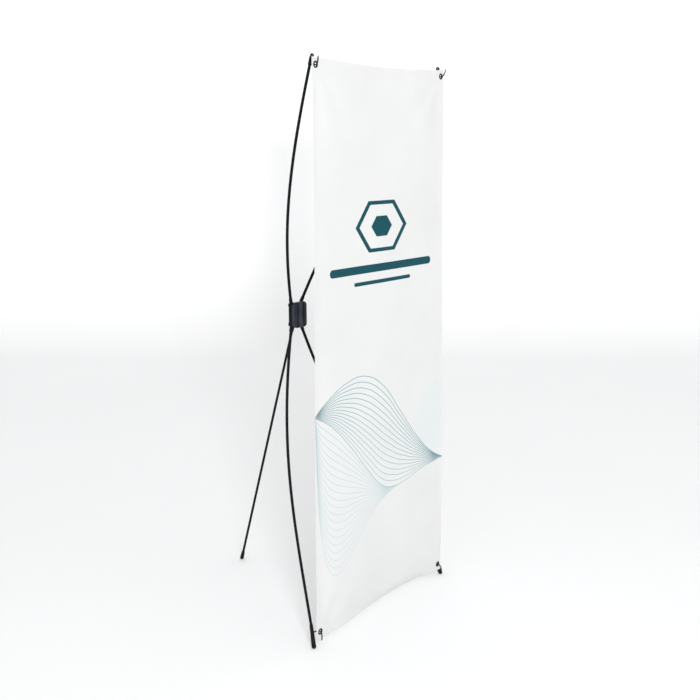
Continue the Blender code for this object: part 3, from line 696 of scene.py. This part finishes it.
# ---------------------------------------------------------------- rear leg
leg_line = P(*LEG_FOOT) - P(*LEG_PIVOT)
leg_length = leg_line.length / MM
leg_frame = aim(P(*LEG_PIVOT), leg_line)
across = aim(P(*LEG_PIVOT), (1, 0, 0), (0, 1, 0))
boolean(rear, put(cylinder("leg_pin_bore", PIN_R + GAP, -12.3, 12.3), across))
finish(put(bevel(cylinder("leg_pin", PIN_R, -12.0, 12.0), 0.4, 3), across), "rear_leg_pin_fine", "hub", ["rear_leg_pin"], PIN_STEEL)
leg_lug = put(bevel(cylinder("leg_lug", 6.0, -4.8, 4.8), 0.7, 4), across)
boolean(leg_lug, put(bevel(cylinder("leg_lug_stem", 5.3, 1.0, 30.0, 48, 5.1), 0.6, 3), leg_frame), "UNION")
boolean(leg_lug, put(cylinder("leg_lug_bore", PIN_R + 0.25, -9.0, 9.0), across))
boolean(leg_lug, put(cylinder("leg_lug_socket", LEG_R + GAP, 9.0, 40.0, 48), leg_frame))
finish(leg_lug, "rear_leg_lug_fine", "rear_leg", ["rear_leg_lug"], LUG_BLACK)
down = leg_line.normalized()
leg_points = [P(*LEG_PIVOT) + down * (9.3 + (leg_length - 10.0 - 9.3) * i / 60) * MM for i in range(61)]
finish(sweep("leg_rod", leg_points, LEG_R, 32), "rear_leg_rod_fine", "rear_leg", ["rear_leg_rod"], ROD_BLACK)
ball = 6.4
foot_profile = [(0, -9.7), (LEG_R + GAP, -9.7), (LEG_R + GAP, -24.0), (4.8, -24.0), (5.2, -23.6), (5.35, -22.4), (5.2, -21.0), (5.4, -19.6), (5.7, -14.0), (6.3, -3.0)]
foot_profile += [(ball * math.cos(a), ball * math.sin(a)) for a in (math.radians(d) for d in range(0, 86, 8))]
foot_profile += [(0, ball)]
floor_block = put(box("floor_cut", (-700, -700, -60), (700, 700, 0)))
rear_foot = put(turned("rear_foot", soften(foot_profile, 0.5, 2), 56), aim(P(*LEG_FOOT), leg_line))
boolean(rear_foot, floor_block)
finish(rear_foot, "rear_leg_foot_fine", "rear_leg", ["rear_leg_foot"], RUBBER)

# ---------------------------------------------------------------- arms
for side, hand in ((-1, "left"), (1, "right")):

    def S(v):
        return Vector((v[0] * side, v[1], v[2]))

    for tier in ("upper", "lower"):
        up = tier == "upper"
        label = f"{tier}_{hand}"
        body = f"arm_{label}"
        pivot = local(side * PIVOT_X, 0, PIVOT_Z if up else -PIVOT_Z)
        root = S(UPPER_ROOT if up else LOWER_ROOT)
        direction = root.normalized()
        axis = Vector((0, direction.z, -direction.y)).normalized()
        if axis.y < 0:
            axis = -axis
        if not up:
            axis.rotate(Quaternion(direction, math.radians(side * LOWER_PIN_LEAN)))
        along = aim(pivot, direction, axis)
        pin_frame = aim(pivot, axis)
        tip = S(UPPER_TIP if up else LOWER_TIP)
        end = S(UPPER_END if up else LOWER_END)
        start = pivot + direction * SOCKET_END * MM
        curve = list(bezier(start, pivot + root * MM, P(*(tip + end)), P(*tip), 150))
        sleeve = CAP_LENGTH if up else FOOT_LENGTH
        keep = [p for p in curve if (p - curve[-1]).length > (sleeve + 6.0) * MM]
        mouth = P(*tip) + (P(*(tip + end)) - P(*tip)).normalized() * sleeve * MM
        last = P(*tip) if up else P(tip.x + side * 1.5, tip.y - 1.5, FOOT_BALL_Z)
        line = (last - mouth).normalized()
        inside = mouth + line * (14.0 if up else 15.5) * MM
        points = [pivot + direction * (SOCKET_START + GAP) * MM, *keep, mouth, mouth + line * 5 * MM, inside]
        finish(sweep(f"rod_{label}_s", points, ROD_R, 32, root=ROD_ROOT_R), f"rod_{label}_fine", body, [f"rod_{label}"], ROD_BLACK)

        lug = put(bevel(cylinder(f"lug_{label}_s", 7.5, -3.5, 3.5), 0.7, 4), pin_frame)
        boolean(lug, put(bevel(box(f"neck_{label}", (-3.5, -4.5, 0.0), (3.5, 4.5, 12.0)), 0.5, 3), along), "UNION")
        boolean(lug, put(bevel(cylinder(f"socket_{label}", 5.7, 9.0, SOCKET_END, 56, 5.5), 0.6, 4), along), "UNION")
        boolean(lug, put(cylinder(f"lug_bore_{label}", PIN_R + 0.25, -9.0, 9.0), pin_frame))
        boolean(lug, put(cylinder(f"rod_bore_{label}", ROD_ROOT_R + GAP, SOCKET_START, SOCKET_END + 6, 56), along))
        finish(lug, f"lug_{label}_fine", body, [f"lug_{label}"], LUG_BLACK)

        back = 8.4 if up else 8.2
        finish(put(bevel(cylinder(f"pin_{label}", PIN_R, -8.0, back), 0.4, 3), pin_frame), f"pivot_pin_{label}_fine", "hub", [f"pivot_pin_{label}"], PIN_STEEL)
        pin_bore = put(cylinder(f"pin_bore_{label}", PIN_R + GAP, -12.0, back + (0.3 if up else 4.0)), pin_frame)
        boolean(plate, pin_bore)
        boolean(rear, pin_bore)

        eye_x, eye_z = EYELET_TOP if up else EYELET_BOTTOM
        eye = Vector((side * eye_x, 0, eye_z))
        if up:
            profile = [(0, 9.5), (2.4, 9.5), (4.2, 8.3), (5.2, 5.4), (5.2, -CAP_LENGTH + 3.2), (5.5, -CAP_LENGTH + 2.6), (5.5, -CAP_LENGTH + 1.0), (4.9, -CAP_LENGTH)]
            profile += [(ROD_R + GAP, -CAP_LENGTH), (ROD_R + GAP, -CAP_LENGTH + 14.3), (0, -CAP_LENGTH + 14.3)]
            holder = put(turned(f"cap_{label}", soften(profile, 0.9, 4), 56), aim(P(*tip), line))
            crook = [tip + Vector((0, 1.0, 1.0))]
            crook += [tip + Vector((0, -3.9 + 4.1 * math.cos(a), 8.2 + 4.1 * math.sin(a))) for a in (math.radians(d) for d in range(0, 222, 15))]
            boolean(holder, put(sweep(f"crook_{label}", smooth_route([P(*p) for p in crook], 3), 2.2, 28, ("flat", "round"))), "UNION")
            base = tip + line * 2.4
            route = [
                base, eye + Vector((side * -0.2, 8.4, 13.0)), eye + Vector((side * -0.3, 6.6, 8.6)), eye + Vector((side * -0.2, 5.4, 3.4)),
                eye + Vector((0, 3.2, 0.1)), eye + Vector((side * 0.3, -1.6, -0.7)),
                eye + Vector((side * 1.2, -6.2, 0.8)), eye + Vector((side * 2.4, -9.8, 4.6)),
                eye + Vector((side * 3.6, -12.2, 10.0)), eye + Vector((side * 5.4, -14.8, 20.5)),
            ]
            names = (f"tip_cap_{label}", f"tip_cap_{label}_fine")
        else:
            reach = (last - mouth).length / MM
            profile = [(0, reach - 15.8), (ROD_R + GAP, reach - 15.8), (ROD_R + GAP, reach), (4.8, reach), (5.15, reach - 0.7), (5.3, reach - 1.8), (5.1, reach - 3.0)]
            profile += [(5.5, reach * 0.55), (6.3, 8.0)]
            profile += [(FOOT_BALL_R * math.cos(a), -FOOT_BALL_R * math.sin(a)) for a in (math.radians(d) for d in range(0, 86, 8))]
            profile += [(0, -FOOT_BALL_R)]
            holder = put(turned(f"foot_{hand}_s", soften(profile, 1.0, 3), 56), aim(last, -line))
            boolean(holder, floor_block)
            base = (mouth + line * 21.0 * MM) / MM + Vector((0, DEPTH_CENTRE, 0))
            route = [
                base, eye + Vector((side * 5.0, 6.0, 0.8)), eye + Vector((side * 1.0, 2.6, 0.4)), eye + Vector((side * 0.2, -2.0, 0.2)),
                eye + Vector((side * 1.4, -6.0, -1.6)), eye + Vector((side * 3.2, -9.0, -5.6)),
                eye + Vector((side * 5.0, -10.8, -11.0)), eye + Vector((side * 7.2, -12.0, -21.0)),
            ]
            names = (f"foot_{hand}", f"foot_{hand}_fine")
        path = [P(*p) for p in route]
        toward = (path[1] - path[0]).normalized()
        hook_bore = cylinder(f"hook_bore_{label}", WIRE_R + GAP, 1.8, 12.0, 40)
        boolean(holder, put(hook_bore, aim(P(*route[0]), toward)))
        finish(holder, names[1], body, [names[0]], RUBBER)
        path[0] = path[0] + toward * 2.2 * MM
        finish(sweep(f"hook_{label}_s", smooth_route(path, 9), WIRE_R, 24, ("flat", "round"), tip=WIRE_R * 0.85), f"hook_{label}_fine", body, [f"hook_{label}"], HOOK_STEEL)

        eye_frame = aim(P(*eye), (0, -1, 0), (1, 0, 0))
        flange = [
            (5.4, 1.5), (6.9, 1.75), (8.4, 1.4), (8.95, 0.9), (9.0, 0.55), (5.5, 0.55),
            (5.5, -1.5), (4.7, -1.5), (4.7, 0.9),
        ]
        front = put(turned(f"eye_front_{label}", soften(flange, 0.7, 4, True), 72, True), eye_frame)
        finish(front, f"eyelet_front_{label}_fine", "banner", [f"eyelet_front_{label}"], EYELET, 50)
        washer = [(6.6, -0.55), (8.6, -0.55), (9.0, -0.8), (9.0, -1.15), (8.3, -1.5), (5.8, -1.5), (5.8, -0.55)]
        rear_ring = put(turned(f"eye_back_{label}", soften(washer, 0.3, 3, True), 72, True), eye_frame)
        finish(rear_ring, f"eyelet_back_{label}_fine", "banner", [f"eyelet_back_{label}"], EYELET, 50)

finish(cover, "hub_front_cover_fine", "hub", ["hub_front_cover"], HUB_PLASTIC)
finish(plate, "hub_front_plate_fine", "hub", ["hub_front_plate"], HUB_INNER)
finish(spacer, "hub_spacer_fine", "hub", ["hub_spacer"], HUB_INNER)
# the rear body wears the darker copy of the hub plastic, painted shade
finish(rear, "hub_rear_body_fine", "hub", ["hub_rear_body"], HUB_REAR_PAINTED_SHADE)

# ---------------------------------------------------------------- sheet
EYES = [(s * x, z) for s in (-1, 1) for x, z in (EYELET_TOP, EYELET_BOTTOM)]


def ease(t):
    t = min(max(t, 0.0), 1.0)
    return t * t * (3 - 2 * t)


def push(x, z):
    """How far the sheet stands behind (+) or in front of (-) its flat plane, in millimetres: slow waves, creases that fan out from the eyelets, and a bottom edge that rolls back."""
    away = min(math.hypot(x - a, z - b) for a, b in EYES)
    free = ease((away - 13.0) / 90.0)
    u, v = x / 300.0, (z - SHEET_BOTTOM) / 1600.0
    made = 1.9 * math.sin(2.3 * u + 4.2 * v + 0.6) * math.cos(3.1 * v - 0.8 * u)
    made += 1.1 * math.sin(5.2 * u - 6.0 * v + 1.4)
    for i, (a, b) in enumerate(EYES):
        dx, dz = x - a, z - b
        r = math.hypot(dx, dz)
        turn = math.atan2(-dz if b > 800 else dz, -dx if a > 0 else dx)
        made += 1.5 * math.sin(9.0 * turn + 0.9 * i) * math.exp(-r / 210.0) * ease((r - 12.0) / 70.0)
    made *= free
    low = SHEET_BOTTOM + BOTTOM_ARCH * (1 - (x / SHEET_HALF_BOTTOM) ** 2)
    roll = 15.0 * ease((x + 230.0) / 330.0) * ease((300.0 - x) / 42.0)
    made += roll * max(0.0, 1 - (z - low) / 40.0) ** 2 * free
    edge = 299.0 + 8.0 * (1 - v)
    made += -1.6 * max(0.0, 1 - (edge - abs(x)) / 26.0) ** 2 * free
    return made


def sheet_solid(nx=76, nz=190):
    bm = bmesh.new()
    half = SHEET_THICK / 2
    layers = []
    for y in (-half, half):
        rows = []
        for j in range(nz + 1):
            v = j / nz
            row = []
            for i in range(nx + 1):
                u = 2 * i / nx - 1
                low = SHEET_BOTTOM + BOTTOM_ARCH * (1 - u * u)
                high = SHEET_TOP - TOP_SAG * (1 - u * u)
                z = low + (high - low) * v
                x = u * (SHEET_HALF_BOTTOM + (SHEET_HALF_TOP - SHEET_HALF_BOTTOM) * v)
                row.append(bm.verts.new(P(x, y, z)))
            rows.append(row)
        layers.append(rows)
    front, back = layers
    for j in range(nz):
        for i in range(nx):
            bm.faces.new((front[j][i], front[j][i + 1], front[j + 1][i + 1], front[j + 1][i]))
            bm.faces.new((back[j][i], back[j + 1][i], back[j + 1][i + 1], back[j][i + 1]))
    for i in range(nx):
        bm.faces.new((front[0][i], back[0][i], back[0][i + 1], front[0][i + 1]))
        bm.faces.new((front[nz][i], front[nz][i + 1], back[nz][i + 1], back[nz][i]))
    for j in range(nz):
        bm.faces.new((front[j][0], front[j + 1][0], back[j + 1][0], back[j][0]))
        bm.faces.new((front[j][nx], back[j][nx], back[j + 1][nx], front[j + 1][nx]))
    bmesh.ops.recalc_face_normals(bm, faces=bm.faces)
    return from_bmesh("sheet", bm)


flat_sheet = put(sheet_solid())
for i, (x, z) in enumerate(EYES):
    boolean(flat_sheet, put(cylinder(f"eye_hole_{i}", 5.8, -6.0, 6.0, 64), aim(P(x, 0, z), (0, -1, 0))))
sheet = finish(flat_sheet, "banner_sheet_printed", "banner", ["banner_sheet"], PRINT)
sheet.data.materials.append(BACK)
sheet.data.materials.append(CUT)
for face in sheet.data.polygons:
    face.material_index = 0 if face.normal.y < -0.5 else 1 if face.normal.y > 0.5 else 2
for vertex in sheet.data.vertices:
    x, z = vertex.co.x / MM, vertex.co.z / MM
    vertex.co.y += push(x, z) * MM
sheet.data.update()

for helper in list(helpers.objects):
    bpy.data.objects.remove(helper, do_unlink=True)
bpy.data.collections.remove(helpers)


# ================================================================ stage
def sweep_stage():
    """A pale studio floor that turns up into a wall far behind."""
    bm = bmesh.new()
    out = Vector((math.sin(math.radians(52.5)), math.cos(math.radians(52.5)), 0.0))
    right = Vector((out.y, -out.x, 0.0))
    profile = [(-16.0, 0.0), (3.5, 0.0)]
    profile += [(3.5 + 0.9 * math.sin(a), 0.9 - 0.9 * math.cos(a)) for a in (math.radians(d) for d in range(5, 91, 5))]
    profile += [(4.4, 9.0)]
    rows = [[bm.verts.new(out * d + right * w + Vector((0, 0, h))) for w in (-18.0, 18.0)] for d, h in profile]
    for a, b in zip(rows, rows[1:]):
        bm.faces.new((a[0], a[1], b[1], b[0]))
    made = from_bmesh("studio_floor", bm)
    made.data.shade_smooth()
    return made


floor_look = Look("studio_paper", specular=0.12)
paper = floor_look.noise(0.7, 3.0, 0.5)
floor_look.colour(floor_look.tint(floor_look.span(paper, 0.3, 0.7, 0.0, 1.0), (0.925, 0.928, 0.932), (0.945, 0.948, 0.952)))
floor_look.rough(0.85)
floor = sweep_stage()
floor.data.materials.append(floor_look.material)
bpy.context.scene.collection.objects.link(floor)

world = bpy.data.worlds.new("studio") if bpy.context.scene.world is None else bpy.context.scene.world
bpy.context.scene.world = world
world.use_nodes = True
world.node_tree.nodes["Background"].inputs["Color"].default_value = (1.0, 1.0, 1.0, 1.0)
world.node_tree.nodes["Background"].inputs["Strength"].default_value = 0.75


def lamp(name, at, target, size, power, colour=(1.0, 1.0, 1.0)):
    data = bpy.data.lights.new(name, "AREA")
    data.shape = "DISK"
    data.size = size
    data.energy = power
    data.color = colour
    made = bpy.data.objects.new(name, data)
    made.location = at
    made.rotation_mode = "QUATERNION"
    made.rotation_quaternion = (Vector(target) - Vector(at)).to_track_quat("-Z", "Y")
    bpy.context.scene.collection.objects.link(made)


# Two level, soft beams from the front lay the sheet's shadow on the wall behind it, a little to the left;
# a large lamp above them does the same on the floor.
for name, heading in (("beam_left", 42.5), ("beam_right", 46.0)):
    beam = bpy.data.lights.new(name, "SUN")
    beam.energy = 0.42
    beam.angle = math.radians(5.0)
    made = bpy.data.objects.new(name, beam)
    turn, drop = math.radians(heading), math.radians(1.0)
    made.rotation_mode = "QUATERNION"
    made.rotation_quaternion = Vector((math.sin(turn) * math.cos(drop), math.cos(turn) * math.cos(drop), -math.sin(drop))).to_track_quat("-Z", "Y")
    made.location = (-3.0, -3.5, 2.0)
    bpy.context.scene.collection.objects.link(made)
lamp("key", (-3.3, -3.9, 3.05), (0.0, 0.0, 0.5), 1.1, 130.0)

camera_data = bpy.data.cameras.new("camera")
camera_data.lens = 51.3749
camera_data.sensor_width = 36.0
camera_data.shift_x = -0.05014
camera_data.shift_y = -0.05
camera_data.clip_start = 0.05
camera_data.clip_end = 100.0
camera = bpy.data.objects.new("camera", camera_data)
camera.location = (-2.26976, -2.049595, 1.39337)
yaw, pitch = math.radians(52.4947), math.radians(9.5672)
looking = Vector((math.sin(yaw) * math.cos(pitch), math.cos(yaw) * math.cos(pitch), -math.sin(pitch)))
camera.rotation_mode = "QUATERNION"
camera.rotation_quaternion = looking.to_track_quat("-Z", "Y")
bpy.context.scene.collection.objects.link(camera)
bpy.context.scene.camera = camera
bpy.context.scene.view_settings.view_transform = "Standard"
